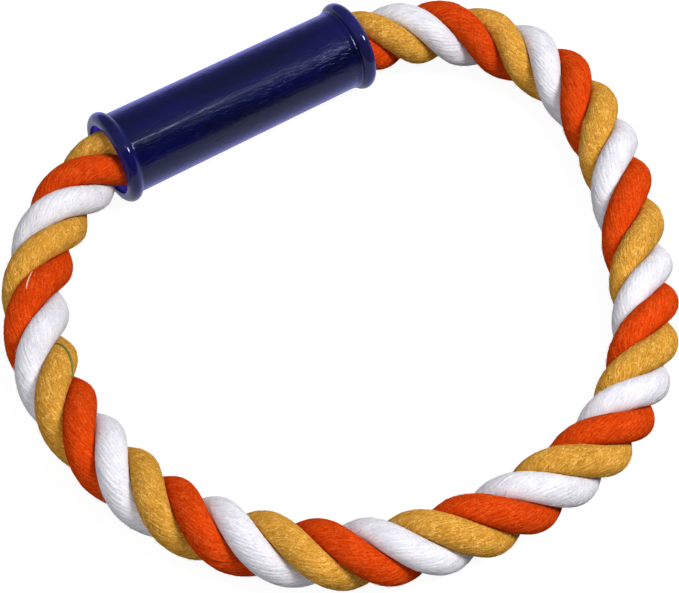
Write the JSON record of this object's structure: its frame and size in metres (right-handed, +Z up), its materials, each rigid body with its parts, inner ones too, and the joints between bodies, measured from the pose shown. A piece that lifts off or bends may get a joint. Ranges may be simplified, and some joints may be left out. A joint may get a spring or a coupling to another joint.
{
  "type": "rope tug ring",
  "caption": "Dog tug toy: a thick laid cotton rope in orange, white and gold, bent into a ring, its ends joined inside a glossy dark blue plastic grip sleeve with rounded rims.",
  "frame": {"origin": "on the surface the ring lies on, under the centre of the whole ring's box", "axes": "+X along the grip sleeve from its wider left mouth to its right mouth, +Y from the ring's middle towards the sleeve, +Z up"},
  "size_m": [0.2403, 0.2173, 0.0336],
  "materials": {
    "cotton_orange": "dyed cotton yarn, matt and slightly hairy",
    "cotton_white": "undyed cotton yarn, matt and slightly hairy",
    "cotton_gold": "dyed cotton yarn, matt and slightly hairy",
    "grip_plastic": "glossy moulded plastic, dark cobalt blue",
    "ferrule_metal": "plain, crimped",
    "whipping_twine": "waxed cotton twine"
  },
  "bodies": {
    "rope": {"strand_orange": "cotton_orange", "strand_white": "cotton_white", "strand_gold": "cotton_gold", "joint_ferrule": "ferrule_metal", "whipping_left": "whipping_twine", "whipping_right": "whipping_twine"},
    "handle": {"handle_sleeve": "grip_plastic"}
  },
  "joints": [
    {"name": "handle_spin", "type": "hinge", "parent": "rope", "child": "handle", "pos_m": [0.0035, 0.092, 0.0168], "axis": [1, 0, 0], "continuous": true}
  ]
}
